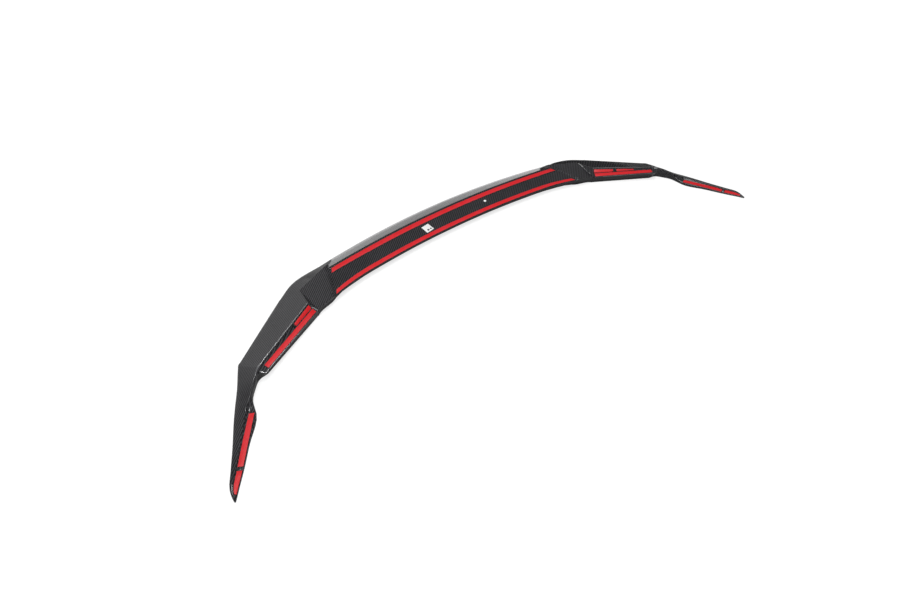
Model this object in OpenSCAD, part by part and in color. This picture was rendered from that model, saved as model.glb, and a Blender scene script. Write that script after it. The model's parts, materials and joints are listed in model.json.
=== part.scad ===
// Front bumper lip, laid up as one carbon skin, lying with its bonding side up.
// Millimetres. X runs across the car, Y forwards, Z up from the ground it rests on.

/* [Plan of one half] */
// Distance from the middle of the car to the knee, across
knee_x = 542; // [470:1:650]
// Distance from the foremost point back to the knee
knee_back = 128; // [108:1:154]
// Run of the arm across, from the knee to the elbow
arm_run = 196; // [164:1:236]
// Run of the arm backwards, from the knee to the elbow
arm_back = 196; // [164:1:236]
// Run of the tail across, from the elbow to its tip
tail_run = 162; // [135:1:195]
// Run of the tail backwards, from the elbow to its tip
tail_back = 270; // [225:1:324]
// Length of the raised knee block, across
block_len = 109; // [91:1:131]
// How far the channel bows back between the middle and the knee block
centre_sag = 34; // [28:1:41]

/* [Centre section] */
// Width of the sloping front band, in plan
band_w = 68; // [56:1:82]
// Width from the top of the band back to the rear flange
deck_w = 88; // [80:1:106]
// Height of the top of the band above the ground
band_h = 36; // [31:1:43]
// Depth of the step from the band down into the channel
channel_step = 3; // [2:0.1:4]
// Height of the rear flange above the ground
flange_h = 27; // [23:1:32]
// Height of the nose, where the band rolls over to the ground
nose_h = 15; // [12:1:18]
// How far the rear wall leans in under the flange
wall_lean = 19.5; // [16:0.5:23]
// Rise of the knee block above the end of the channel
block_rise = 7; // [5:0.5:9]

/* [Arms] */
// Height of the arm's crest above the ground
crest_h = 44; // [40:1:52]
// Drop from the crest to its foot in the arm channel
crest_step = 4.5; // [3.7:0.1:5.4]
// Width of the land under the long tape
land_w = 17.5; // [17:0.1:21]
// Height of the arm flange at its knee end
arm_flange_h = 26; // [22:0.5:30]
// Height of the arm flange at its elbow end
elbow_flange_h = 31; // [27:0.5:35]

/* [Tails] */
// Height of the tail's top where it leaves the neck
tail_h = 16; // [14:0.5:19]
// Height of the outer edge of the tail above the ground, near the tip
tip_lift = 9; // [7.5:0.5:11]
// Width of the tail's bonding face
tail_land_w = 14.5; // [14:0.1:17.4]

/* [Skin] */
// Thickness of the moulded skin
skin = 2.5; // [2:0.1:3]
// Radius of the rounded nose
nose_r = 12; // [10:0.5:14]
// Radius of the small edges
edge_r = 1.6; // [1.3:0.1:2]

/* [Tapes] */
// Thickness of the foam core of the tape
foam_t = 0.9; // [0.75:0.05:1.1]
// Thickness of the red liner on the foam
liner_t = 0.25; // [0.2:0.05:0.3]
// Gap left by the adhesive under the foam
bond = 0.12; // [0.1:0.01:0.14]
// Width of the tape behind the front band
outer_tape_w = 21; // [17.5:0.5:25]
// Width of the tape along the rear flange
inner_tape_w = 19; // [16:0.5:20]
// Width of the short tape beside the arm crest
short_tape_w = 11.5; // [9.6:0.1:13]
// Width of the long tape on the arm
long_tape_w = 15.5; // [13:0.5:15.5]
// Width of the tape on the tail
tail_tape_w = 12.5; // [10.4:0.1:12.9]
// Distance from a tape to the edge beside it
tape_margin = 1; // [0.8:0.1:1.2]

/* [Fixings and labels] */
// Diameter of the screw holes
screw_d = 5; // [4.2:0.1:6]
// Length of bare skin left between tapes at a screw hole
hole_gap = 10; // [8.5:0.5:12]
// Length of the white label, across the car
label_l = 28; // [24:1:33]
// Width of the white label
label_w = 30; // [25:1:36]
// Distance of the label from the middle of the car
label_x = 100; // [84:1:118]
// Turn of the label against the car's width
label_turn = 8; // [6:0.5:10]
// Diameter of the round inspection sticker
dot_d = 9; // [7.5:0.5:10.8]
// Thickness of the label and the sticker
label_t = 0.2; // [0.17:0.01:0.24]

/* [Hidden] */
span = 2 * (knee_x + arm_run + tail_run);
depth = knee_back + arm_back + tail_back;
TINY = 0.01;

// Turning points of one half, measured from the middle and from the line of the tips
knee = [knee_x, depth - knee_back];
elbow = knee + [arm_run, -arm_back];
tip = elbow + [tail_run, -tail_back];
crest_start = knee + [2, -72];
tail_start = elbow + [68, -84];
tail_end = tip + [0, 15];

// A rib is one cross-section: seven points from the outer edge over the crest to the foot of
// the rear wall. The face runs out from the crest, and the deck runs in from it.
// face = [plan angle, width], nose = [inset, rise] from the outer edge, and step, land and
// flange = [distance from the crest, height above the ground].
function rib(at, crest, face, nose, deck, step, land, flange, wall, foot = 0) =
    let (out = [cos(face[0]), sin(face[0])], inw = [cos(deck), sin(deck)])
    [over(at + out * face[1], foot),
     over(at + out * (face[1] - nose[0]), foot + nose[1]),
     over(at, crest),
     over(at + inw * step[0], step[1]),
     over(at + inw * land[0], land[1]),
     over(at + inw * flange[0], flange[1]),
     over(at + inw * wall, 0)];

function over(p, z) = [p[0], p[1], z];
function mix(a, b, t) = a + (b - a) * t;
function unit(v) = v / norm(v);

// Ribs of the centre section, at a share f of the way to the knee block
function centre_rib(f, grow, lean) =
    let (x = f * (knee_x - block_len), w = deck_w + grow)
    rib(at = [x, depth - band_w - centre_sag * f * f], crest = band_h + f,
        face = [90 + 10 * f, band_w - 5 * f * f], nose = [20 + 2 * f, nose_h],
        deck = -90 + 18.6 * pow(f, 2.2), step = [3, band_h - channel_step + 0.5 * f],
        land = [w - 22, flange_h + 1.2], flange = [w, flange_h + 0.5 * f], wall = w - lean);

block_at = [knee_x - block_len, depth - band_w - centre_sag];
elbow_crest_h = crest_h - 3;
land_rise = 4.5;

// Every rib of one half, from the middle to the tip
RIBS = [
    centre_rib(0, 0, wall_lean),
    centre_rib(0.3, 0, wall_lean),
    centre_rib(0.6, 1.5, wall_lean),
    centre_rib(0.85, 7, wall_lean),
    centre_rib(1, 21.7, wall_lean - 2),
    // start of the knee block, whose top runs out over the band nearly to its edge
    rib(at = block_at + [1.2, 14.8], crest = band_h + 1.5, face = [100, 47], nose = [22, nose_h],
        deck = -71.5, step = [3, band_h + 1.2], land = [109, flange_h + block_rise + 1.4],
        flange = [131.6, flange_h + block_rise], wall = 113.3),
    // crease where the block meets the foot of the arm's crest
    rib(at = knee, crest = arm_flange_h + 1.5, face = [82, 61], nose = [16, 12], deck = -97.7,
        step = [3, arm_flange_h + 1.4], land = [75, arm_flange_h + 0.8],
        flange = [99, arm_flange_h + 0.5], wall = 92.5),
    // end face of the crest, down to the flange
    rib(at = crest_start, crest = crest_h, face = [59.4, 110.5], nose = [6, 8],
        deck = -119.7, step = [2, crest_h - 1.2], land = [12, crest_h - 7.2],
        flange = [29, arm_flange_h + 0.7], wall = 25),
    // start of the arm channel
    rib(at = crest_start + [2, -1], crest = crest_h, face = [58.9, 110.5], nose = [6, 8],
        deck = -115.3, step = [2.5, crest_h - crest_step],
        land = [13, arm_flange_h + land_rise],
        flange = [13 + land_w, arm_flange_h], wall = 24),
    // end of the long tape
    rib(at = mix(crest_start, elbow, 0.923), crest = elbow_crest_h, face = [58, 79.5],
        nose = [6, 8], deck = -115.5, step = [2, elbow_crest_h - crest_step],
        land = [4.8, elbow_flange_h + 0.8 * land_rise],
        flange = [5.8 + land_w, elbow_flange_h], wall = 9),
    // rounded end of the arm flange
    rib(at = elbow + [-7, 4.5], crest = elbow_crest_h, face = [57, 78.5], nose = [6, 8],
        deck = -113, step = [2, elbow_crest_h - 2.5], land = [5, elbow_crest_h - 5.5],
        flange = [24, elbow_flange_h - 0.5], wall = 5.5),
    // neck
    rib(at = elbow + [1, -4], crest = elbow_crest_h, face = [59, 75.5], nose = [6, 8],
        deck = -120, step = [1.5, elbow_crest_h - 2], land = [4, elbow_crest_h - 4],
        flange = [8, elbow_crest_h - 7], wall = -2),
    rib(at = elbow + [21, -29], crest = elbow_crest_h - 5, face = [35, 51.5],
        nose = [6, 7], deck = -140, step = [0.8, elbow_crest_h - 7],
        land = [1.6, elbow_crest_h - 10], flange = [2.6, elbow_crest_h - 14], wall = -5.5,
        foot = 0.5),
    rib(at = elbow + [43, -54], crest = tail_h + 8, face = [22, 40.6], nose = [6, 5],
        deck = -158, step = [1, tail_h + 5.5], land = [2, tail_h + 2.5],
        flange = [3.2, tail_h - 1], wall = 1.5, foot = 1.5),
    rib(at = elbow + [57, -70], crest = tail_h + 3, face = [20, 33.8], nose = [5.5, 4.5],
        deck = -170, step = [3.2, tail_h - 2], land = [6, tail_h - 4],
        flange = [12.2, tail_h - 6], wall = 12.8, foot = 0.3 * tip_lift),
    // tail, from the corner of its tab to the tip
    rib(at = tail_start, crest = tail_h, face = [18.4, 29], nose = [5, 4], deck = -161.6,
        step = [3.6, tail_h - 5.5], land = [6.5, tail_h - 6.2],
        flange = [6.8 + tail_land_w, tail_h - 8.4], wall = 22.2, foot = 0.4 * tip_lift),
    rib(at = mix(tail_start, tail_end, 0.42), crest = tail_h - 3, face = [22, 17.8],
        nose = [4, 3], deck = -158, step = [1.6, tail_h - 6.8], land = [2.4, tail_h - 7.2],
        flange = [2.5 + tail_land_w, tail_h - 9.8], wall = 17.7, foot = 0.7 * tip_lift),
    rib(at = mix(tail_start, tail_end, 0.71), crest = tail_h - 5, face = [22, 11.2],
        nose = [2.5, 1.2], deck = -158, step = [0.7, tail_h - 8.6], land = [1, tail_h - 8.8],
        flange = [tail_land_w - 0.4, tail_h - 11.4], wall = 14.9, foot = 0.95 * tip_lift),
    rib(at = mix(tail_start, tail_end, 0.93), crest = tip_lift + 0.6, face = [22, 5.4],
        nose = [1.2, 0.4], deck = -158, step = [0.6, tip_lift - 1.6],
        land = [1, tip_lift - 1.9], flange = [10.4, 3.6], wall = 11.1, foot = tip_lift),
    rib(at = tip + [-2, 7], crest = 5.5, face = [22, 2.4], nose = [0.6, 0.3], deck = -158,
        step = [0.5, 4.9], land = [1, 4.7], flange = [3.4, 3.1], wall = 4, foot = 4.2),
    rib(at = tip + [-1, 1.4], crest = 4, face = [22, 0.9], nose = [0.2, 0.2], deck = -158,
        step = [0.2, 3.7], land = [0.4, 3.6], flange = [1.2, 2.8], wall = 1.5, foot = 3)];

// Numbers of the ribs that other pieces are placed from
BLOCK = 4;
FOOT = 6;
CHANNEL = 8;
TAPE_END = 9;
TAB = 15;
GAP = 17;
TIP = 19;

// How the lanes pass each rib: 0 smoothly, 1 with a crease across the deck, 2 with every lane
// straight on both sides. Then how many sections follow each rib.
CREASE = [0, 0, 0, 0, 1, 1, 1, 2, 2, 2, 0, 0, 0, 0, 0, 1, 0, 0, 0, 0, 0];
STEPS = [4, 4, 4, 3, 1, 6, 4, 1, 7, 2, 3, 4, 3, 3, 3, 5, 4, 3, 3, 2];
LANES = 7;
function is_deck(lane) = lane >= 2 && lane <= 5;

// Tangent of one lane at rib i, for a span of the given length
function lane_dir(i, lane, toward) =
    let (last = len(RIBS) - 1, a = RIBS[max(i - 1, 0)][lane], b = RIBS[i][lane],
         c = RIBS[min(i + 1, last)][lane])
    (CREASE[i] == 2 || is_deck(lane) && CREASE[i] == 1) ? unit(toward)
    : i == 0 ? [1, 0, 0]
    : i == last ? unit(toward)
    : unit(unit(c - b) * norm(b - a) + unit(b - a) * norm(c - b));

function lane_point(i, lane, t) =
    let (a = RIBS[i][lane], b = RIBS[i + 1][lane], chord = b - a, l = norm(chord),
         ta = lane_dir(i, lane, chord) * l, tb = lane_dir(i + 1, lane, chord) * l,
         t2 = t * t, t3 = t2 * t)
    a * (2 * t3 - 3 * t2 + 1) + ta * (t3 - 2 * t2 + t) + b * (3 * t2 - 2 * t3) + tb * (t3 - t2);

// Section at station u of one half: the whole part is the rib, the rest the way to the next.
// The crease at the foot of the arm's crest is rounded over the short way between its hems.
HEMS = [FOOT - 0.025, FOOT + 0.07];
function sharp_section(u) =
    let (i = min(floor(u), len(RIBS) - 2))
    [for (lane = [0 : LANES - 1]) lane_point(i, lane, u - i)];
function section(u) = u != FOOT ? sharp_section(u)
    : (sharp_section(HEMS[0]) + sharp_section(HEMS[1])) / 4 + sharp_section(u) / 2;

// Stations of the mesh, and the sections of the whole lip from tip to tip
GRID = concat(
    [for (i = [0 : FOOT - 1]) for (k = [0 : STEPS[i] - 1]) i + k / STEPS[i]],
    [HEMS[0], FOOT, HEMS[1]],
    [for (k = [1 : STEPS[FOOT] - 1]) FOOT + k / STEPS[FOOT]],
    [for (i = [FOOT + 1 : len(STEPS) - 1]) for (k = [0 : STEPS[i] - 1]) i + k / STEPS[i]],
    [len(RIBS) - 1]);
function flip(ring) = [for (p = ring) [-p[0], p[1], p[2]]];
function whole(half) = concat([for (i = [len(half) - 1 : -1 : 1]) flip(half[i])], half);
WHOLE = whole([for (u = GRID) section(u)]);
MIDDLE = len(GRID) - 1;

// Section of the mesh at station u, straight between the mesh's own sections
function on_mesh(u) =
    let (k = max([for (j = [0 : len(GRID) - 2]) if (GRID[j] <= u) j]),
         t = (u - GRID[k]) / (GRID[k + 1] - GRID[k]))
    mix(section(GRID[k]), section(GRID[k + 1]), t);

// Stretch of the lip from station u0 to u1
function run(u0, u1) =
    let (between = [for (g = GRID) if (g > u0 + TINY && g < u1 - TINY) g])
    [for (u = concat([u0], between, [u1])) on_mesh(u)];

// Stations a given distance past or before rib i, measured along the deck
function after(i, mm) = i + mm / norm(RIBS[i + 1][4] - RIBS[i][4]);
function before(i, mm) = i - mm / norm(RIBS[i][4] - RIBS[i - 1][4]);

// Rounded corner at b between a and c
function corner(a, b, c, r, n) =
    let (p = b + unit(a - b) * min(r, 0.45 * norm(a - b)),
         q = b + unit(c - b) * min(r, 0.45 * norm(c - b)))
    [for (k = [0 : n]) let (t = k / n) mix(mix(p, b, t), mix(b, q, t), t)];

// Outer profile of a section: edge, nose, crest, step, land and flange, and the foot. The
// hollow corners stay smaller than the margin beside a tape, which lies flat up to them.
HOLLOW_R = 0.9 * tape_margin;
SHARP_R = 0.5;
RADII = [0, nose_r, edge_r, HOLLOW_R, HOLLOW_R, edge_r, 0];
INNER_RADII = [0, nose_r, SHARP_R, HOLLOW_R + skin, HOLLOW_R, SHARP_R, 0];
POINTS = [0, 3, 2, 1, 1, 2, 0];
function profile(s, radii) = concat(
    [s[0], mix(s[0], s[1], 0.5)],
    [for (j = [1 : LANES - 2]) each corner(s[j - 1], s[j], s[j + 1], radii[j], POINTS[j])],
    [mix(s[5], s[6], 0.5), s[6]]);

TOP = [for (s = WHOLE) profile(s, RADII)];
RING = len(TOP[0]);

// The skin thins towards the tips, where the tail is narrower than two walls
function wall_at(i) = min(skin, 0.22 * norm(WHOLE[i][0] - WHOLE[i][LANES - 1]));

// Normal of the surface between lane j and the next, at section i. It is evened out over
// four sections each way, so that the inner face doesn't fold over itself at a crease.
EVEN = 4;
function strip_normal(i, j) =
    let (a = WHOLE[max(i - EVEN, 0)], b = WHOLE[min(i + EVEN, len(WHOLE) - 1)], s = WHOLE[i])
    unit(cross(s[j + 1] - s[j], b[j] + b[j + 1] - a[j] - a[j + 1]));

// Where lane j of section i lies on the inner face of the skin. The two outer lanes are the
// feet: on the ground they are cut level, and where the tail is raised they are cut square.
function inner_point(i, j) =
    let (p = WHOLE[i][j], t = wall_at(i),
         n = strip_normal(i, min(j, LANES - 2)), m = strip_normal(i, max(j - 1, 0)),
         flat = [n[0], n[1], 0], level = p - flat * (t / max(flat * flat, 0.3)))
    (j == 0 || j == LANES - 1)
        ? mix(level, p - n * t, min(p[2] / t, 1))
        : p - (n + m) * (t / (1 + n * m));

// The inner lanes keep their order where the outer ones lie closer than the skin is thick
STEP_ON = 0.4;
function ahead(p, q, way) = q + way * max(0, STEP_ON - (q - p) * way);
function inner_lane(i, j) = j < 3 || j == LANES - 1 ? inner_point(i, j)
    : ahead(inner_lane(i, j - 1), inner_point(i, j), unit(WHOLE[i][j] - WHOLE[i][j - 1]));

UNDER = [for (i = [0 : len(WHOLE) - 1])
    profile([for (j = [0 : LANES - 1]) inner_lane(i, j)], INNER_RADII)];

// Closed tube through rings of equal size. The diagonals of its facets match above and below,
// and are mirrored for the rings before the middle one.
module tube(rings, mid = 0) {
    m = len(rings[0]);
    last = len(rings) - 1;
    sides = [for (i = [0 : last - 1]) for (k = [0 : m - 1])
        let (a = i * m + k, b = i * m + (k + 1) % m, c = a + m, d = b + m)
        each ((i < mid) != (k >= m / 2) ? [[a, d, b], [a, c, d]] : [[a, c, b], [b, c, d]])];
    caps = [[for (k = [0 : m - 1]) k], [for (k = [m - 1 : -1 : 0]) last * m + k]];
    polyhedron(points = [for (r = rings) each r], faces = concat(sides, caps), convexity = 8);
}

// The frame's origin is on the ground under the middle of the lip
module placed() { translate([0, -depth / 2, 0]) children(); }

// Strip of tape on the deck, between the edges that two lanes of points make, kept a margin
// clear of both; side 0 lies against the first lane and side 1 against the second
module strip(sections, lanes, side, width, low, high, mid = 0) {
    tube([for (s = sections)
        let (a = s[lanes[0]], b = s[lanes[1]], room = norm(b - a) - 2 * tape_margin,
             w = min(width, room), start = tape_margin + side * (room - w),
             n = square_to(b - a), p = a + unit(b - a) * start, q = p + unit(b - a) * w)
        [p + n * high, q + n * high, q + n * low, p + n * low]], mid);
}

// Upward direction square to a vector
function square_to(v) = unit([0, 0, v * v] - v * v[2]);

// The two layers of a tape: its foam core and the red liner over it
FOAM = [bond, bond + foam_t];
LINER = [bond + foam_t, bond + foam_t + liner_t];

// Runs of each tape along the lip, and the lanes that it lies between
function gap_at(i) = hole_gap / 2 / norm(RIBS[i + 1][4] - RIBS[i][4]);
ARM_HOLE = CHANNEL + 0.37;
TAIL_HOLE = before(GAP, 3);
OUTER_RUN = whole(run(0, before(BLOCK, 2)));
INNER_RUN = whole(run(0, before(BLOCK, 4)));
LONG_RUN = run(after(CHANNEL, 1.5), before(TAPE_END, 1));
SHORT_RUN = run(after(CHANNEL, 1.5), ARM_HOLE - gap_at(CHANNEL));
EXTRA_RUN = run(ARM_HOLE + gap_at(CHANNEL), CHANNEL + 0.7);
TAIL_RUN = run(after(TAB, 1.5), TAIL_HOLE - gap_at(GAP - 1));
END_RUN = run(TAIL_HOLE + gap_at(GAP - 1), TIP - 0.5);
CHANNEL_WALL = [3, 4];
LAND = [4, 5];

module outer_tape(layer) {
    strip(OUTER_RUN, CHANNEL_WALL, 0, outer_tape_w, layer[0], layer[1], (len(OUTER_RUN) - 1) / 2);
}
module inner_tape(layer) {
    strip(INNER_RUN, LAND, 1, inner_tape_w, layer[0], layer[1], (len(INNER_RUN) - 1) / 2);
}
module long_tape(layer) { strip(LONG_RUN, LAND, 0.5, long_tape_w, layer[0], layer[1]); }
module short_tape(layer) { strip(SHORT_RUN, CHANNEL_WALL, 0.5, short_tape_w, layer[0], layer[1]); }
module extra_tape(layer) { strip(EXTRA_RUN, CHANNEL_WALL, 0.5, short_tape_w, layer[0], layer[1]); }
module tail_tape(layer) { strip(TAIL_RUN, LAND, 0.5, tail_tape_w, layer[0], layer[1]); }
module end_tape(layer) { strip(END_RUN, LAND, 0.5, tail_tape_w, layer[0], layer[1]); }

// A point on the deck at station u, a share t of the way between two lanes, and the normal there
function deck_point(u, lanes, t) = let (s = on_mesh(u)) mix(s[lanes[0]], s[lanes[1]], t);
function deck_normal(u, lanes, t) =
    unit(cross(deck_point(u - 0.02, lanes, t) - deck_point(u + 0.02, lanes, t),
               deck_point(u, lanes, 0.9) - deck_point(u, lanes, 0.1)));

// Something square to the deck at a point of it
module on_deck(u, lanes, t, side = 1) {
    p = deck_point(u, lanes, t);
    n = deck_normal(u, lanes, t);
    translate([side * p[0], p[1], p[2]])
    rotate(a = acos(n[2]), v = [-n[1], side * n[0], 0])
    children();
}

// Screw hole square through the skin
module screw_hole(u, lanes, t, side) {
    on_deck(u, lanes, t, side)
    translate([0, 0, -3 * skin])
    cylinder(d = screw_d, h = 6 * skin, $fn = 48);
}

RED = [0.78, 0.13, 0.16];
DARK = [0.2, 0.2, 0.21];
WHITE = [0.93, 0.93, 0.92];

module lip_shell() {
    color([0.09, 0.09, 0.1])
    placed() difference() {
        tube([for (i = [0 : len(TOP) - 1])
            concat(TOP[i], [for (k = [RING - 1 : -1 : 0]) UNDER[i][k]])], MIDDLE);
        for (side = [-1, 1]) {
            screw_hole(ARM_HOLE, CHANNEL_WALL, 0.68, side);
            screw_hole(TAIL_HOLE, LAND, 0.5, side);
        }
    }
}

// One layer of a tape in its colour, on the right as built or mirrored to the left
module layer_of(colour, left = false) {
    color(colour) placed() if (left) mirror([1, 0, 0]) children(); else children();
}
module outer_tape_foam() { layer_of(DARK) outer_tape(FOAM); }
module outer_tape_liner() { layer_of(RED) outer_tape(LINER); }
module inner_tape_foam() { layer_of(DARK) inner_tape(FOAM); }
module inner_tape_liner() { layer_of(RED) inner_tape(LINER); }
module long_tape_foam_left() { layer_of(DARK, true) long_tape(FOAM); }
module long_tape_liner_left() { layer_of(RED, true) long_tape(LINER); }
module long_tape_foam_right() { layer_of(DARK) long_tape(FOAM); }
module long_tape_liner_right() { layer_of(RED) long_tape(LINER); }
module short_tape_foam_left() { layer_of(DARK, true) short_tape(FOAM); }
module short_tape_liner_left() { layer_of(RED, true) short_tape(LINER); }
module short_tape_foam_right() { layer_of(DARK) short_tape(FOAM); }
module short_tape_liner_right() { layer_of(RED) short_tape(LINER); }
module extra_tape_foam_right() { layer_of(DARK) extra_tape(FOAM); }
module extra_tape_liner_right() { layer_of(RED) extra_tape(LINER); }
module tail_tape_foam_left() { layer_of(DARK, true) tail_tape(FOAM); }
module tail_tape_liner_left() { layer_of(RED, true) tail_tape(LINER); }
module tail_tape_foam_right() { layer_of(DARK) tail_tape(FOAM); }
module tail_tape_liner_right() { layer_of(RED) tail_tape(LINER); }
module end_tape_foam_left() { layer_of(DARK, true) end_tape(FOAM); }
module end_tape_liner_left() { layer_of(RED, true) end_tape(LINER); }
module end_tape_foam_right() { layer_of(DARK) end_tape(FOAM); }
module end_tape_liner_right() { layer_of(RED) end_tape(LINER); }

// Thin white label, turned a little against the channel, with its corners rounded
module white_label() {
    color(WHITE) placed()
    on_deck(label_x / (RIBS[1][2][0] - RIBS[0][2][0]), CHANNEL_WALL, 0.72, -1)
    rotate([0, 0, label_turn])
    translate([0, 0, bond])
    linear_extrude(label_t)
    offset(r = 1.2, $fn = 16)
    square([label_l - 2.4, label_w - 2.4], center = true);
}

// Round sticker left by the final inspection
module inspection_dot() {
    color(WHITE) placed()
    on_deck(1, CHANNEL_WALL, 0.63, 1)
    translate([0, 0, bond])
    cylinder(d = dot_d, h = label_t, $fn = 48);
}

lip_shell();
outer_tape_foam();
outer_tape_liner();
inner_tape_foam();
inner_tape_liner();
long_tape_foam_left();
long_tape_liner_left();
long_tape_foam_right();
long_tape_liner_right();
short_tape_foam_left();
short_tape_liner_left();
short_tape_foam_right();
short_tape_liner_right();
extra_tape_foam_right();
extra_tape_liner_right();
tail_tape_foam_left();
tail_tape_liner_left();
tail_tape_foam_right();
tail_tape_liner_right();
end_tape_foam_left();
end_tape_liner_left();
end_tape_foam_right();
end_tape_liner_right();
white_label();
inspection_dot();
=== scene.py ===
"""Front bumper lip: a glossy carbon skin with its mounting tapes, label and sticker, on a
pale studio floor. Metres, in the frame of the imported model."""

import json
import math

import bpy
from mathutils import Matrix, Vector

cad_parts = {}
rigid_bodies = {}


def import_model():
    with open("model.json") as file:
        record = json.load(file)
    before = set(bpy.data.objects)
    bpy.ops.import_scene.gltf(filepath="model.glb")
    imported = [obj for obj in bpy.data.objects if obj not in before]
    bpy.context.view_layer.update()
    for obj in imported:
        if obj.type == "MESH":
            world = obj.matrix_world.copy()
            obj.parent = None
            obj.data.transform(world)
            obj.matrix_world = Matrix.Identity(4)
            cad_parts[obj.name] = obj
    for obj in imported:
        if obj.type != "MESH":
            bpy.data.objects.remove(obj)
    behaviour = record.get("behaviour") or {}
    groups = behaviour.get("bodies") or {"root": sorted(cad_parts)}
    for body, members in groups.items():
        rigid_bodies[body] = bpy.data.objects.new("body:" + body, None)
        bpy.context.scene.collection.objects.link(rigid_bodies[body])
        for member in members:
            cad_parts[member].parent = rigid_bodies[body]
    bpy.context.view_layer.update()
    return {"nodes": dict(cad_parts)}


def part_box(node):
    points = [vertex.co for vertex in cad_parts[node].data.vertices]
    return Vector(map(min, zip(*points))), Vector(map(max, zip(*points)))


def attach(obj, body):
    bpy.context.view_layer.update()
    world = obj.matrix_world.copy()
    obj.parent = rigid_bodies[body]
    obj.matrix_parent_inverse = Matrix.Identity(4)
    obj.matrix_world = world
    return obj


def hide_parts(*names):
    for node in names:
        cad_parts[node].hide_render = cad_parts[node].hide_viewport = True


bl_info = {
    "name": "Front bumper lip",
    "version": (1, 0, 0),
    "blender": (4, 5, 0),
    "location": "3D View > Sidebar > Lip",
    "description": "Dresses the packed front bumper lip and sets up its studio",
    "category": "Object",
}

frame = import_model()
NODES = frame["nodes"]
MM = 0.001

# Width of the picture in pixels
FRAME_WIDTH = 920

# A face is a side of a strip where the upright part of its normal is less than this
FLAT = 0.5

# Two sides point the same way where the dot product of their normals is at least this
SAME_WAY = 0.7

# Edges of the tapes, the label and the sticker that turn more than this are rounded
ROUND_ANGLE = math.radians(50)

# Edges of the same pieces that turn more than this are shaded as sharp
SHARP_ANGLE = math.radians(40)

# Plain spots on the label, as x and y from its middle and radius, in millimetres
LABEL_SPOTS = ((-2.0, -7.5, 3.8), (8.0, -6.0, 2.9))

# Lamps as name, place, side of the square in metres, and the stage value that gives its power
LAMPS = (
    ("Key", (-0.9, -1.1, 3.0), 2.2, "key"),
    ("Top", (0.15, -0.1, 2.9), 0.5, "top"),
    ("Rim", (-1.2, 2.69, 1.6), 0.6, "rim"),
    ("Line", (-0.91, 2.35, 2.2), 0.3, "line"),
)

# Way to the paler wall, and how closely a ray points that way where the wall starts and is full
WALL_WAY = (-0.15, 0.975, 0.16)
WALL_EDGE = (0.77, 0.97)

# Width of the camera's sensor in millimetres
SENSOR = 36.0

# Height of the cards above the floor
CARD_LIFT = 2 * MM

# Dark cards that only paint darker reflections into the lip, as name, grey, centre, size and turn
REFLECTION_CARDS = (
    ("Left card", 0.22, (-1.405, 1.2), (2.0, 2.0), 0.0),
    ("Right card", 0.02, (1.975, 0.635), (2.4, 2.0), math.radians(53.13)),
    ("Rear card", 0.25, (0.0, -0.22), (1.9, 0.77), 0.0),
)

# Places under screw holes where the floor doesn't glow, a painted shadow seen through the holes, as x, y and
# radius
PAINTED_SHADOW_SPOTS = ((-0.63, 0.077, 0.04), (0.63, 0.077, 0.04), (-0.865, -0.23, 0.0055))


class LipSizes(bpy.types.PropertyGroup):
    """Sizes that the pieces and their patterns are made from"""

    weld: bpy.props.FloatProperty(
        name="Weld distance", description="Points closer than this become one",
        default=0.00001, min=0.0, precision=6, unit="LENGTH")
    smooth_angle: bpy.props.FloatProperty(
        name="Smooth angle", description="Edges that turn more than this stay sharp",
        default=math.radians(56), subtype="ANGLE", unit="ROTATION")
    tow: bpy.props.FloatProperty(
        name="Tow width", description="Width of one carbon tow in the twill",
        default=2.1 * MM, precision=4, unit="LENGTH")
    weave_turn: bpy.props.FloatProperty(
        name="Weave turn", description="Turn of the tows against the length of the car",
        default=math.radians(2), subtype="ANGLE", unit="ROTATION")
    # The painted highlight along the arm edges starts and is full at these turns of the skin
    highlight_turn: bpy.props.FloatVectorProperty(
        name="Edge turn", description="Turns of the skin at which an edge starts to be pale and is fully so",
        default=(math.radians(7), math.radians(20)), size=2, subtype="NONE", unit="ROTATION")
    # The arm edges get the painted highlight between these distances from the middle
    highlight_run: bpy.props.FloatVectorProperty(
        name="Pale run", description="Distances from the middle at which the pale edges start and end",
        default=(0.54, 0.765), size=2, min=0.0, unit="LENGTH")
    film_round: bpy.props.FloatProperty(
        name="Film rounding", description="Radius along the cut edges of the red film",
        default=0.1 * MM, precision=5, unit="LENGTH")
    film_inset: bpy.props.FloatProperty(
        name="Film inset", description="How far the film of the channel tapes stops short of the foam",
        default=2.0 * MM, min=0.0, precision=4, unit="LENGTH")
    arm_inset: bpy.props.FloatProperty(
        name="Arm film inset", description="How far the film of the arm tapes stops short of the foam",
        default=1.2 * MM, min=0.0, precision=4, unit="LENGTH")
    foam_round: bpy.props.FloatProperty(
        name="Foam rounding", description="Radius along the edges of the foam core",
        default=0.22 * MM, precision=5, unit="LENGTH")
    label_round: bpy.props.FloatProperty(
        name="Label rounding", description="Radius along the edges of the label and the sticker",
        default=0.06 * MM, precision=5, unit="LENGTH")


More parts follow.
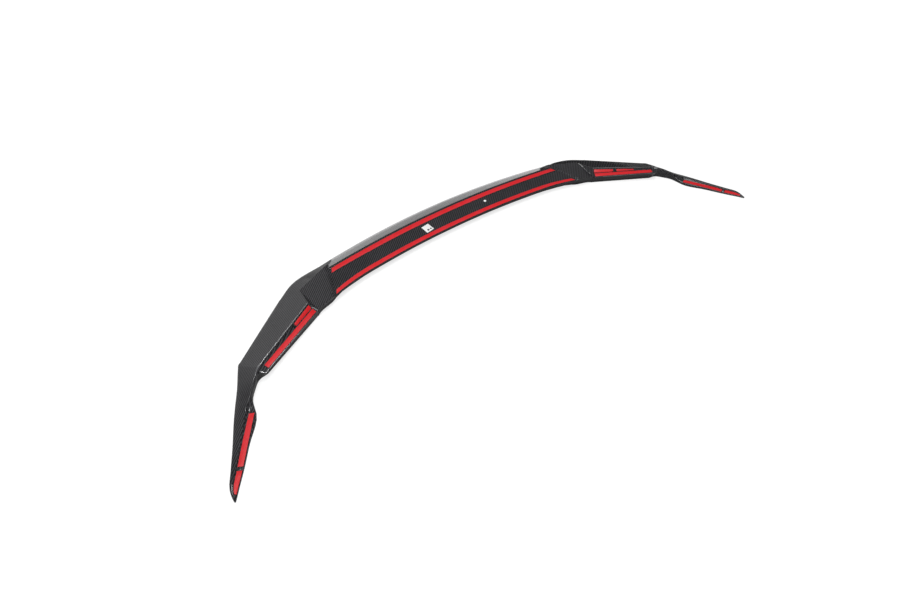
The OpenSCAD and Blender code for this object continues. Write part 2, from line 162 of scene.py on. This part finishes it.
class LipColours(bpy.types.PropertyGroup):
    """Colours of the finishes, as linear values"""

    # Painted shade: the near-black tows that run across the light
    tow_painted_shade: bpy.props.FloatVectorProperty(
        name="Tow across", description="Carbon tow that runs across the light",
        default=(0.001, 0.001, 0.0012), subtype="COLOR", min=0, max=1)
    # Painted sheen: the paler tows that catch the light
    tow_painted_sheen: bpy.props.FloatVectorProperty(
        name="Tow along", description="Carbon tow that catches the light",
        default=(0.119, 0.116, 0.13), subtype="COLOR", min=0, max=1)
    # Painted highlight: pale colour, made fully metallic, on the faces along the outward edges of the arms
    edge: bpy.props.FloatVectorProperty(
        name="Edge", description="Pale, shiny lines along the outward edges of the arms",
        default=(0.24, 0.24, 0.246), subtype="COLOR", min=0, max=1)
    resin: bpy.props.FloatVectorProperty(
        name="Resin", description="Bare laminate on the hidden side",
        default=(0.018, 0.018, 0.019), subtype="COLOR", min=0, max=1)
    foam: bpy.props.FloatVectorProperty(
        name="Foam", description="Foam core of the tape",
        default=(0.012, 0.012, 0.013), subtype="COLOR", min=0, max=1)
    film: bpy.props.FloatVectorProperty(
        name="Red film", description="Liner over the adhesive",
        default=(0.62, 0.008, 0.010), subtype="COLOR", min=0, max=1)
    # Painted sheen: paler red in patches, standing in for light off the wavy film
    film_painted_sheen: bpy.props.FloatVectorProperty(
        name="Pale film", description="Places where the film has lifted off the adhesive",
        default=(0.64, 0.022, 0.034), subtype="COLOR", min=0, max=1)
    label: bpy.props.FloatVectorProperty(
        name="Label", description="White label stock",
        default=(0.84, 0.84, 0.83), subtype="COLOR", min=0, max=1)
    mark: bpy.props.FloatVectorProperty(
        name="Label marks", description="Plain printed spots on the label",
        default=(0.03, 0.03, 0.035), subtype="COLOR", min=0, max=1)
    sticker: bpy.props.FloatVectorProperty(
        name="Sticker", description="Round sticker",
        default=(0.92, 0.92, 0.91), subtype="COLOR", min=0, max=1)
    floor: bpy.props.FloatVectorProperty(
        name="Floor", description="Studio floor",
        default=(0.8, 0.8, 0.8), subtype="COLOR", min=0, max=1)


class LipStage(bpy.types.PropertyGroup):
    """Camera and light"""

    camera_place: bpy.props.FloatVectorProperty(
        name="Camera place", description="Where the camera stands",
        default=(-0.7193, -0.8744, 1.0853), subtype="TRANSLATION", unit="LENGTH")
    camera_turn: bpy.props.FloatVectorProperty(
        name="Camera turn", description="Tilt, roll and heading of the camera",
        default=(math.radians(40.1), 0.0, math.radians(-35.4)), subtype="EULER",
        unit="ROTATION")
    lens: bpy.props.FloatProperty(
        name="Lens", description="Focal length in millimetres on a sensor 36 mm wide",
        default=19.565, min=5.0)
    shift: bpy.props.FloatVectorProperty(
        name="Shift", description="Shift of the frame, as a share of its width",
        default=(-1 / FRAME_WIDTH, 0.5 / FRAME_WIDTH), size=2)
    room: bpy.props.FloatProperty(
        name="Room", description="Light from the dim room all round", default=0.16, min=0.0)
    front: bpy.props.FloatProperty(
        name="Front wall", description="Light from the paler wall ahead", default=0.42, min=0.0)
    floor_size: bpy.props.FloatProperty(
        name="Floor size", description="Side of the square floor",
        default=16.0, min=0.0, unit="LENGTH")
    glow: bpy.props.FloatProperty(
        name="Floor glow", description="Light of its own that the floor shows near the lip",
        default=0.7, min=0.0)
    glow_reach: bpy.props.FloatVectorProperty(
        name="Glow reach", description="Distances between which the floor's glow rises to white",
        default=(0.9, 2.6), size=2, min=0.0, unit="LENGTH")
    mirrored_glow: bpy.props.FloatProperty(
        name="Mirrored glow", description="Light of its own that the floor shows in reflections",
        default=0.1, min=0.0)
    shade: bpy.props.FloatProperty(
        name="Floor shade", description="Share of the floor's colour that the camera sees lit",
        default=0.47, min=0.0, max=1.0)
    key: bpy.props.FloatProperty(
        name="Key lamp", description="Power of the wide lamp above the lip in watts",
        default=62.0, min=0.0)
    top: bpy.props.FloatProperty(
        name="Top lamp", description="Power of the small lamp straight above in watts",
        default=30.0, min=0.0)
    rim: bpy.props.FloatProperty(
        name="Rim lamp", description="Power of the small lamp ahead in watts",
        default=8.0, min=0.0)
    line: bpy.props.FloatProperty(
        name="Line lamp", description="Power of the narrow lamp that picks out the crease of one arm",
        default=9.0, min=0.0)


def deselect():
    """Leaves edit mode with nothing selected"""
    if bpy.context.mode != "OBJECT":
        bpy.ops.object.mode_set(mode="OBJECT")
    bpy.ops.object.select_all(action="DESELECT")


def make_active(piece):
    """Leaves just this piece selected and active, in object mode"""
    deselect()
    piece.select_set(True)
    bpy.context.view_layer.objects.active = piece


def copy_of(node, name):
    """Welded copy of a CAD node under a new name, as the active object"""
    piece = bpy.data.objects.new(name, NODES[node].data.copy())
    piece.data.name = name
    piece.data.materials.clear()
    bpy.context.scene.collection.objects.link(piece)
    make_active(piece)
    bpy.ops.object.mode_set(mode="EDIT")
    bpy.ops.mesh.select_all(action="SELECT")
    bpy.ops.mesh.remove_doubles(threshold=bpy.context.scene.lip_sizes.weld)
    # Two triangles become one face where they fold and skew by less than this, in radians
    fold, skew = 0.2, 0.7
    bpy.ops.mesh.tris_convert_to_quads(face_threshold=fold, shape_threshold=skew)
    bpy.ops.object.mode_set(mode="OBJECT")
    return piece


def pick_faces(piece, wanted):
    """Selects just the faces for which wanted(face) is true"""
    mesh = piece.data
    for group in (mesh.vertices, mesh.edges, mesh.polygons):
        group.foreach_set("select", [False] * len(group))
    for face in mesh.polygons:
        face.select = wanted(face)


def apply_modifier(piece, kind, **settings):
    """Adds a modifier with its settings and applies it"""
    modifier = piece.modifiers.new(kind.title(), kind)
    for key, value in settings.items():
        setattr(modifier, key, value)
    make_active(piece)
    bpy.ops.object.modifier_apply(modifier=modifier.name)


def round_edges(piece, radius):
    """Rounds the cut edges of a tape, the label or the sticker, and shades it smooth"""
    apply_modifier(piece, "BEVEL", width=radius, segments=2, limit_method="ANGLE",
                   angle_limit=ROUND_ANGLE)
    make_active(piece)
    bpy.ops.object.shade_smooth_by_angle(angle=SHARP_ANGLE)


def settle(piece, node):
    """The piece stands for its CAD node and moves with the lip"""
    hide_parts(node)
    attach(piece, "root")


def add_node(tree, kind, inputs=(), **settings):
    """New shader node with its settings, and each input given as a value or a socket"""
    node = tree.nodes.new(kind)
    for key, value in settings.items():
        setattr(node, key, value)
    for key, value in dict(inputs).items():
        if isinstance(value, bpy.types.NodeSocket):
            tree.links.new(value, node.inputs[key])
        else:
            node.inputs[key].default_value = value
    return node


def calc(tree, operation, *values):
    """Output of a Math node"""
    return add_node(tree, "ShaderNodeMath", dict(enumerate(values)), operation=operation).outputs[0]


def blend(tree, share, low, high):
    """Output of a Mix node between two numbers"""
    inputs = {0: share, 2: low, 3: high}
    return add_node(tree, "ShaderNodeMix", inputs, data_type="FLOAT").outputs[0]


def tint(tree, share, low, high):
    """Output of a Mix node between two colours"""
    low, high = ((*c, 1.0) if hasattr(c, "__len__") else c for c in (low, high))
    inputs = {0: share, 6: low, 7: high}
    return add_node(tree, "ShaderNodeMix", inputs, data_type="RGBA").outputs[2]


def noise(tree, vector, scale, detail=2.0):
    """Noise of about 0.5 on average, with its scale in waves to one unit of the vector"""
    inputs = {"Vector": vector, "Scale": scale, "Detail": detail}
    return add_node(tree, "ShaderNodeTexNoise", inputs).outputs["Fac"]


def new_group(name, inputs, outputs):
    """Empty shader group with its sockets, and its input and output nodes"""
    group = bpy.data.node_groups.new(name, "ShaderNodeTree")
    for label, kind, value in inputs:
        socket = group.interface.new_socket(label, in_out="INPUT", socket_type=kind)
        if value is not None:
            socket.default_value = value
    for label, kind in outputs:
        group.interface.new_socket(label, in_out="OUTPUT", socket_type=kind)
    return group, group.nodes.new("NodeGroupInput").outputs, group.nodes.new("NodeGroupOutput")


def twill_group():
    """Two by two twill in tow widths: which tow is on top, its arched height and its fibres"""
    name = "Twill weave"
    if name in bpy.data.node_groups:
        return bpy.data.node_groups[name]
    tree, given, result = new_group(
        name,
        [("Vector", "NodeSocketVector", None), ("Tow", "NodeSocketFloat", 0.002),
         ("Turn", "NodeSocketFloat", 0.0)],
        [("Along", "NodeSocketFloat"), ("Height", "NodeSocketFloat"),
         ("Fibre", "NodeSocketFloat")])
    turned = add_node(tree, "ShaderNodeVectorRotate",
                      {"Vector": given["Vector"], "Angle": given["Turn"]},
                      rotation_type="Z_AXIS").outputs[0]
    split = add_node(tree, "ShaderNodeSeparateXYZ", {0: turned}).outputs
    x = calc(tree, "DIVIDE", split["X"], given["Tow"])
    y = calc(tree, "DIVIDE", split["Y"], given["Tow"])
    column, row = calc(tree, "FLOOR", x), calc(tree, "FLOOR", y)
    # The pattern repeats after this many tows
    repeat = 4.0
    place = calc(tree, "FLOORED_MODULO", calc(tree, "SUBTRACT", column, row), repeat)
    # The tow that runs along Y is on top in the first two of the four
    warp_up = calc(tree, "LESS_THAN", place, 1.5)
    along_warp = calc(tree, "FLOORED_MODULO",
                      calc(tree, "SUBTRACT", calc(tree, "ADD", y, 1.0), column), repeat)
    along_weft = calc(tree, "FLOORED_MODULO",
                      calc(tree, "SUBTRACT", calc(tree, "SUBTRACT", x, row), 2.0), repeat)
    run = blend(tree, warp_up, along_weft, along_warp)
    side = blend(tree, warp_up, calc(tree, "FRACT", y), calc(tree, "FRACT", x))
    arch = calc(tree, "SINE", calc(tree, "MULTIPLY", run, math.pi / 2))
    crown = calc(tree, "SINE", calc(tree, "MULTIPLY", side, math.pi))
    dome = calc(tree, "MULTIPLY", calc(tree, "MAXIMUM", arch, 0.0), crown)
    height = calc(tree, "SQRT", dome)
    # Fibres are many to the width of a tow, and long
    fine, coarse = 9.0, 0.6
    warp_fibre = noise(tree, add_node(tree, "ShaderNodeCombineXYZ", {
        "X": calc(tree, "MULTIPLY", x, fine), "Y": calc(tree, "MULTIPLY", y, coarse)}).outputs[0], 1.0)
    weft_fibre = noise(tree, add_node(tree, "ShaderNodeCombineXYZ", {
        "X": calc(tree, "MULTIPLY", x, coarse), "Y": calc(tree, "MULTIPLY", y, fine)}).outputs[0], 1.0)
    tree.links.new(warp_up, result.inputs["Along"])
    tree.links.new(height, result.inputs["Height"])
    tree.links.new(blend(tree, warp_up, weft_fibre, warp_fibre), result.inputs["Fibre"])
    return tree


def new_material(name):
    """Material with a Principled shader, and its tree and shader"""
    material = bpy.data.materials.new(name)
    material.use_nodes = True
    tree = material.node_tree
    return material, tree, tree.nodes["Principled BSDF"]


def set_shader(tree, shader, **values):
    """Gives the shader's sockets values or links, by name with spaces as underlines"""
    for key, value in values.items():
        socket = shader.inputs[key.replace("_", " ")]
        if isinstance(value, bpy.types.NodeSocket):
            tree.links.new(value, socket)
        else:
            socket.default_value = value


def bump(tree, height, strength, distance):
    """Output of a Bump node"""
    inputs = {"Height": height, "Strength": strength, "Distance": distance}
    return add_node(tree, "ShaderNodeBump", inputs).outputs[0]


def object_place(tree):
    """Place on the piece, in metres"""
    return add_node(tree, "ShaderNodeTexCoord").outputs["Object"]


def weave(tree, sizes):
    """Twill on the piece's own map, which lies flat on each side of the skin"""
    vector = add_node(tree, "ShaderNodeUVMap", uv_map="Cloth").outputs[0]
    node = add_node(tree, "ShaderNodeGroup", node_tree=twill_group())
    tree.links.new(vector, node.inputs["Vector"])
    node.inputs["Tow"].default_value = sizes.tow
    node.inputs["Turn"].default_value = sizes.weave_turn
    return node.outputs


def carbon_material(scene):
    """Twill with painted sheen and painted shade in its tows and a painted highlight along the arm edges,
    under a deep clear coat
    """
    sizes, colours = scene.lip_sizes, scene.lip_colours
    material, tree, shader = new_material("Carbon twill under gloss coat")
    cloth = weave(tree, sizes)
    place = object_place(tree)
    # Painted sheen: fibres differ a little, the tows along Y are lit, and the tows across the light stay
    # almost black as painted shade
    across = 0.05
    lit = calc(tree, "MULTIPLY_ADD", cloth["Fibre"], 0.6, 0.2)
    lit = calc(tree, "MULTIPLY", lit, blend(tree, cloth["Along"], across, 1.0))
    # Painted shade: a tow darkens where it dips, and the whole cloth varies slowly from place to place
    lit = calc(tree, "MULTIPLY", lit, calc(tree, "MULTIPLY_ADD", cloth["Height"], 0.7, 0.3))
    drape = noise(tree, place, 14.0)
    lit = calc(tree, "MULTIPLY", lit, calc(tree, "MULTIPLY_ADD", drape, 0.6, 0.7))
    bare = tint(tree, lit, colours.tow_painted_shade, colours.tow_painted_sheen)
    # Painted highlight: the faces marked along the arm edges turn pale and metallic
    edge = add_node(tree, "ShaderNodeAttribute", attribute_name="Edge").outputs["Fac"]
    set_shader(tree, shader, Base_Color=tint(tree, edge, bare, colours.edge),
               Roughness=calc(tree, "MULTIPLY_ADD", cloth["Fibre"], 0.25, 0.28),
               Metallic=edge, Specular_IOR_Level=0.15,
               Normal=bump(tree, cloth["Height"], 0.35, 0.15 * MM),
               Coat_Weight=1.0, Coat_Roughness=0.045, Coat_IOR=1.52)
    return material


def laminate_material(scene):
    """Bare resin side of the skin, matt, with the cloth showing through"""
    sizes, colours = scene.lip_sizes, scene.lip_colours
    material, tree, shader = new_material("Bare laminate")
    cloth = weave(tree, sizes)
    place = object_place(tree)
    cloud = noise(tree, place, 38.0, 4.0)
    lift = 3.2
    pale = tuple(lift * c for c in colours.resin)
    share = calc(tree, "MULTIPLY", calc(tree, "MULTIPLY_ADD", cloth["Height"], 0.5, 0.3), cloud)
    height = calc(tree, "ADD", cloth["Height"], calc(tree, "MULTIPLY", cloud, 2.0))
    set_shader(tree, shader, Base_Color=tint(tree, share, colours.resin, pale),
               Roughness=calc(tree, "MULTIPLY_ADD", cloud, 0.4, 0.35),
               Normal=bump(tree, height, 0.5, 0.12 * MM))
    return material


def foam_material(scene):
    """Closed-cell foam"""
    material, tree, shader = new_material("Tape foam")
    place = object_place(tree)
    cells_per_metre = 2600.0
    cells = add_node(tree, "ShaderNodeTexVoronoi",
                     {"Vector": place, "Scale": cells_per_metre}).outputs["Distance"]
    cloud = noise(tree, place, 90.0)
    base = scene.lip_colours.foam
    lift = 3.5
    share = calc(tree, "MULTIPLY", cells, cloud)
    set_shader(tree, shader, Base_Color=tint(tree, share, base, tuple(lift * c for c in base)),
               Roughness=calc(tree, "MULTIPLY_ADD", cloud, 0.2, 0.75),
               Normal=bump(tree, cells, 0.5, 0.1 * MM))
    return material


def film_material(scene):
    """Red liner film: even red, paler in patches as a painted sheen of the wavy film, and of varying
    roughness
    """
    colours = scene.lip_colours
    material, tree, shader = new_material("Red liner film")
    place = object_place(tree)
    broad = noise(tree, place, 16.0, 3.0)
    patches = noise(tree, place, 60.0, 2.0)
    # Painted sheen: paler patches of the film
    sheen_patches = calc(tree, "MULTIPLY", broad, patches)
    sheen_patches = calc(tree, "SMOOTH_MIN", calc(tree, "MULTIPLY", sheen_patches, 2.0), 1.0, 0.2)
    # Small wrinkles, only in the bump
    wrinkle = noise(tree, place, 130.0, 3.0)
    set_shader(tree, shader, Base_Color=tint(tree, sheen_patches, colours.film, colours.film_painted_sheen),
               Roughness=calc(tree, "MULTIPLY_ADD", patches, 0.3, 0.32), Specular_IOR_Level=0.3,
               Normal=bump(tree, wrinkle, 0.35, 0.4 * MM))
    return material


def spot(tree, place, centre, radius):
    """One inside a flat round spot and zero outside it"""
    away = add_node(tree, "ShaderNodeVectorMath", {0: place, 1: centre},
                    operation="DISTANCE").outputs["Value"]
    return calc(tree, "LESS_THAN", away, radius)


def label_material(scene, centre):
    """White stock with a few plain printed spots"""
    colours = scene.lip_colours
    material, tree, shader = new_material("Label stock")
    place = object_place(tree)
    grain = noise(tree, place, 700.0, 3.0)
    marks = 0.0
    for x, y, radius in LABEL_SPOTS:
        at = centre + Vector((x, y, 0)) * MM
        marks = calc(tree, "MAXIMUM", marks, spot(tree, place, at, radius * MM))
    stock = tint(tree, calc(tree, "MULTIPLY", grain, 0.25), colours.label,
                 tuple(0.75 * c for c in colours.label))
    set_shader(tree, shader, Base_Color=tint(tree, marks, stock, colours.mark),
               Roughness=calc(tree, "MULTIPLY_ADD", grain, 0.2, 0.45),
               Normal=bump(tree, grain, 0.2, 0.03 * MM))
    return material


def sticker_material(scene):
    """White vinyl"""
    material, tree, shader = new_material("Sticker vinyl")
    grain = noise(tree, object_place(tree), 400.0)
    colour = scene.lip_colours.sticker
    set_shader(tree, shader, Base_Color=tint(tree, calc(tree, "MULTIPLY", grain, 0.2), colour,
                                             tuple(0.8 * c for c in colour)),
               Roughness=calc(tree, "MULTIPLY_ADD", grain, 0.2, 0.3),
               Normal=bump(tree, grain, 0.15, 0.03 * MM))
    return material


class LIP_OT_shell(bpy.types.Operator):
    """Carbon skin of the lip, glossy outside and bare inside"""

    bl_idname = "lip.shell"
    bl_label = "Carbon shell"

    def execute(self, context):
        scene = context.scene
        sizes = scene.lip_sizes
        shell = copy_of("lip_shell", "carbon_shell")
        for material in (carbon_material(scene), laminate_material(scene)):
            shell.data.materials.append(material)
        self.part_sides(shell, sizes)
        self.map_cloth(shell)
        self.mark_painted_highlights(shell, sizes)
        make_active(shell)
        bpy.ops.object.shade_smooth_by_angle(angle=sizes.smooth_angle)
        apply_modifier(shell, "WEIGHTED_NORMAL", keep_sharp=True, weight=50)
        settle(shell, "lip_shell")
        return {"FINISHED"}

    def part_sides(self, shell, sizes):
        """Gives the bare laminate to all that sharp edges part from the topmost face"""
        bpy.ops.object.mode_set(mode="EDIT")
        bpy.ops.mesh.select_mode(type="EDGE")
        bpy.ops.mesh.select_all(action="DESELECT")
        bpy.ops.mesh.edges_select_sharp(sharpness=sizes.smooth_angle)
        bpy.ops.mesh.mark_sharp()
        bpy.ops.mesh.select_mode(type="FACE")
        bpy.ops.object.mode_set(mode="OBJECT")
        top = max(shell.data.polygons, key=lambda face: face.center.z)
        pick_faces(shell, lambda face: face.index == top.index)
        bpy.ops.object.mode_set(mode="EDIT")
        bpy.ops.mesh.select_linked(delimit={"SHARP"})
        bpy.ops.mesh.select_all(action="INVERT")
        shell.active_material_index = 1
        bpy.ops.object.material_slot_assign()
        bpy.ops.object.mode_set(mode="OBJECT")
        bare = sum(face.area for face in shell.data.polygons if face.material_index == 1)
        share = bare / sum(face.area for face in shell.data.polygons)
        if not 0.4 < share < 0.6:
            raise RuntimeError(f"the two sides of the skin weren't parted: {share:.2f} is bare")

    def map_cloth(self, shell):
        """Lays the cloth flat on the skin from above, and from the side on steep faces"""
        shell.data.uv_layers.new(name="Cloth")
        bpy.ops.object.mode_set(mode="EDIT")
        bpy.ops.mesh.select_all(action="SELECT")
        bpy.ops.uv.cube_project(cube_size=1.0)
        bpy.ops.object.mode_set(mode="OBJECT")

    def mark_painted_highlights(self, shell, sizes):
        """Marks the narrow faces along the outward edges of the arms for a painted highlight,
        by how far the skin turns on both sides"""
        mesh = shell.data
        sides, turns = {}, [[] for _ in mesh.polygons]
        for face in mesh.polygons:
            for key in face.edge_keys:
                sides.setdefault(key, []).append(face)
        for first, second in (pair for pair in sides.values() if len(pair) == 2):
            if (second.center - first.center).dot(first.normal) < 0:
                turn = first.normal.angle(second.normal, 0.0)
                turns[first.index].append(turn)
                turns[second.index].append(turn)
        both = [sorted(turn)[-2] if len(turn) > 1 else 0.0 for turn in turns]
        low, high = sizes.highlight_turn
        share = [min(max((turn - low) / (high - low), 0.0), 1.0) for turn in both]
        start, end = sizes.highlight_run
        fade_in, fade_out = 20 * MM, 30 * MM
        for face in mesh.polygons:
            out = abs(face.center.x)
            inside = min((out - start) / fade_in, (end - out) / fade_out)
            share[face.index] *= min(max(inside, 0.0), 1.0)
        mesh.attributes.new("Edge", "FLOAT", "FACE").data.foreach_set("value", share)


class LIP_OT_tapes(bpy.types.Operator):
    """Foam cores of the mounting tapes, and the red film over them"""

    bl_idname = "lip.tapes"
    bl_label = "Mounting tapes"

    def execute(self, context):
        scene = context.scene
        sizes = scene.lip_sizes
        finishes = {
            "foam": (foam_material(scene), sizes.foam_round, "tape_foam"),
            "liner": (film_material(scene), sizes.film_round, "tape_liner")}
        for node in sorted(NODES):
            for layer, (material, radius, slot) in finishes.items():
                if layer in node.split("_"):
                    self.make(node, material, radius, slot)
        return {"FINISHED"}

    def make(self, node, material, radius, slot):
        """One layer of one strip"""
        piece = copy_of(node, node.replace("tape_", "strip_"))
        piece.data.materials.append(material)
        if slot == "tape_liner":
            self.draw_in(piece, self.inset(node))
        round_edges(piece, radius)
        settle(piece, node)

    def inset(self, node):
        """How far the film of this strip stops short of its foam"""
        sizes = bpy.context.scene.lip_sizes
        words = node.split("_")
        if "outer" in words or "inner" in words:
            return sizes.film_inset
        return 0.0 if "tail" in words or "end" in words else sizes.arm_inset

    def draw_in(self, piece, inset):
        """Moves the upright sides of a strip inwards"""
        mesh = piece.data
        sides = [[] for _ in mesh.vertices]
        for face in mesh.polygons:
            if abs(face.normal.z) < FLAT:
                for index in face.vertices:
                    if all(face.normal.dot(known) < SAME_WAY for known in sides[index]):
                        sides[index].append(face.normal.copy())
        for vertex, normals in zip(mesh.vertices, sides):
            for normal in normals:
                vertex.co -= inset * normal


class LIP_OT_labels(bpy.types.Operator):
    """White label and round sticker in the channel"""

    bl_idname = "lip.labels"
    bl_label = "Label and sticker"

    def execute(self, context):
        scene = context.scene
        low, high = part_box("white_label")
        self.make("white_label", "channel_label", label_material(scene, (low + high) / 2), "label")
        self.make("inspection_dot", "round_sticker", sticker_material(scene), "sticker")
        return {"FINISHED"}

    def make(self, node, name, material, slot):
        """The label or the sticker"""
        piece = copy_of(node, name)
        piece.data.materials.append(material)
        round_edges(piece, bpy.context.scene.lip_sizes.label_round)
        settle(piece, node)


class LIP_OT_stage(bpy.types.Operator):
    """Pale floor, soft light and the camera"""

    bl_idname = "lip.stage"
    bl_label = "Studio"

    def execute(self, context):
        scene = context.scene
        stage = scene.lip_stage
        self.make_floor(scene, stage)
        for card in REFLECTION_CARDS:
            self.make_reflection_card(*card)
        self.make_world(scene, stage)
        for name, place, size, power in LAMPS:
            self.make_lamp(name, place, size, getattr(stage, power))
        camera = bpy.data.objects.new("Camera", bpy.data.cameras.new("Camera"))
        scene.collection.objects.link(camera)
        camera.location = stage.camera_place
        camera.rotation_euler = stage.camera_turn
        camera.data.lens = stage.lens
        camera.data.sensor_width = SENSOR
        camera.data.shift_x, camera.data.shift_y = stage.shift
        camera.data.clip_start = 0.01
        camera.data.clip_end = 60.0
        camera.data.dof.use_dof = False
        scene.camera = camera
        scene.view_settings.view_transform = "Standard"
        return {"FINISHED"}

    def make_floor(self, scene, stage):
        """White floor, with painted shadow under screw holes, and clear from below"""
        deselect()
        bpy.ops.mesh.primitive_plane_add(size=stage.floor_size, location=(0.0, 0.0, 0.0))
        floor = bpy.context.object
        floor.name = "floor"
        material, tree, shader = new_material("Studio floor")
        path = add_node(tree, "ShaderNodeLightPath").outputs
        mirrored = calc(tree, "MAXIMUM", path["Is Glossy Ray"], path["Is Transmission Ray"])
        place = object_place(tree)
        reach = add_node(tree, "ShaderNodeVectorMath", {0: place}, operation="LENGTH").outputs["Value"]
        near, far = stage.glow_reach
        white = add_node(tree, "ShaderNodeMapRange",
                         {"Value": reach, "From Min": near, "From Max": far,
                          "To Min": stage.glow, "To Max": 1.0},
                         interpolation_type="SMOOTHSTEP").outputs[0]
        glow = calc(tree, "ADD", calc(tree, "MULTIPLY", path["Is Camera Ray"], white),
                    calc(tree, "MULTIPLY", mirrored, stage.mirrored_glow))
        # Painted shadow: the floor has no glow under the screw holes
        for x, y, radius in PAINTED_SHADOW_SPOTS:
            away = add_node(tree, "ShaderNodeVectorMath", {0: place, 1: (x, y, 0.0)},
                            operation="DISTANCE").outputs["Value"]
            glow = calc(tree, "MULTIPLY", glow, calc(tree, "GREATER_THAN", away, radius))
        seen = tuple(stage.shade * c for c in scene.lip_colours.floor)
        under = add_node(tree, "ShaderNodeNewGeometry").outputs["Backfacing"]
        set_shader(tree, shader, Roughness=0.9, Specular_IOR_Level=0.0,
                   Base_Color=tint(tree, path["Is Camera Ray"], scene.lip_colours.floor, seen),
                   Emission_Color=(1.0, 1.0, 1.0, 1.0), Emission_Strength=glow,
                   Alpha=calc(tree, "SUBTRACT", 1.0, under))
        floor.data.materials.append(material)

    def make_reflection_card(self, name, grey, centre, size, turn):
        """Dark card on the floor near the lip that shows only in reflections, to paint a darker reflection
        into the lip
        """
        deselect()
        bpy.ops.mesh.primitive_plane_add(size=1.0, location=(*centre, CARD_LIFT),
                                         rotation=(0.0, 0.0, turn))
        card = bpy.context.object
        card.name = name
        card.scale = (*size, 1.0)
        bpy.ops.object.transform_apply(location=True, rotation=True, scale=True)
        material, tree, shader = new_material(name)
        set_shader(tree, shader, Base_Color=(grey, grey, grey, 1.0), Roughness=1.0,
                   Specular_IOR_Level=0.0)
        card.data.materials.append(material)
        for ray in ("camera", "diffuse", "transmission", "shadow"):
            setattr(card, f"visible_{ray}", False)

    def make_world(self, scene, stage):
        """Dim room with a paler wall ahead, which the camera itself sees as white"""
        world = bpy.data.worlds.new("Studio")
        world.use_nodes = True
        tree = world.node_tree
        path = add_node(tree, "ShaderNodeLightPath").outputs
        way = add_node(tree, "ShaderNodeTexCoord").outputs["Generated"]
        ahead = add_node(tree, "ShaderNodeVectorMath", {0: way, 1: WALL_WAY},
                         operation="DOT_PRODUCT").outputs["Value"]
        start, full = WALL_EDGE
        wall = add_node(tree, "ShaderNodeMapRange",
                        {"Value": ahead, "From Min": start, "From Max": full,
                         "To Min": stage.room, "To Max": stage.front},
                        interpolation_type="SMOOTHSTEP").outputs[0]
        strength = blend(tree, path["Is Camera Ray"], wall, 1.0)
        background = tree.nodes["Background"]
        background.inputs["Color"].default_value = (1.0, 1.0, 1.0, 1.0)
        tree.links.new(strength, background.inputs["Strength"])
        scene.world = world

    def make_lamp(self, name, place, size, power):
        """Square lamp that faces the middle of the lip"""
        lamp = bpy.data.lights.new(name, "AREA")
        lamp.shape = "SQUARE"
        lamp.size = size
        lamp.energy = power
        holder = bpy.data.objects.new(name, lamp)
        holder.location = place
        holder.rotation_euler = Vector(place).to_track_quat("Z", "Y").to_euler()
        bpy.context.scene.collection.objects.link(holder)


class LIP_PT_sidebar(bpy.types.Panel):
    """Lists what can be made and the values it is made from"""

    bl_label = "Front bumper lip"
    bl_idname = "LIP_PT_sidebar"
    bl_space_type = "VIEW_3D"
    bl_region_type = "UI"
    bl_category = "Lip"

    def draw(self, context):
        for operator in OPERATORS:
            self.layout.operator(operator.bl_idname)
        for name, group in GROUPS.items():
            box = self.layout.box()
            for key in group.__annotations__:
                box.prop(getattr(context.scene, name), key)


OPERATORS = (LIP_OT_shell, LIP_OT_tapes, LIP_OT_labels, LIP_OT_stage)
GROUPS = {"lip_sizes": LipSizes, "lip_colours": LipColours, "lip_stage": LipStage}


def register():
    for cls in (*GROUPS.values(), *OPERATORS, LIP_PT_sidebar):
        bpy.utils.register_class(cls)
    for name, group in GROUPS.items():
        setattr(bpy.types.Scene, name, bpy.props.PointerProperty(type=group))


def unregister():
    for name in GROUPS:
        delattr(bpy.types.Scene, name)
    for cls in (LIP_PT_sidebar, *reversed(OPERATORS), *reversed(tuple(GROUPS.values()))):
        bpy.utils.unregister_class(cls)


def main():
    """Makes the pieces and the studio"""
    register()
    bpy.ops.lip.shell()
    bpy.ops.lip.tapes()
    bpy.ops.lip.labels()
    bpy.ops.lip.stage()


if __name__ == "__main__":
    main()
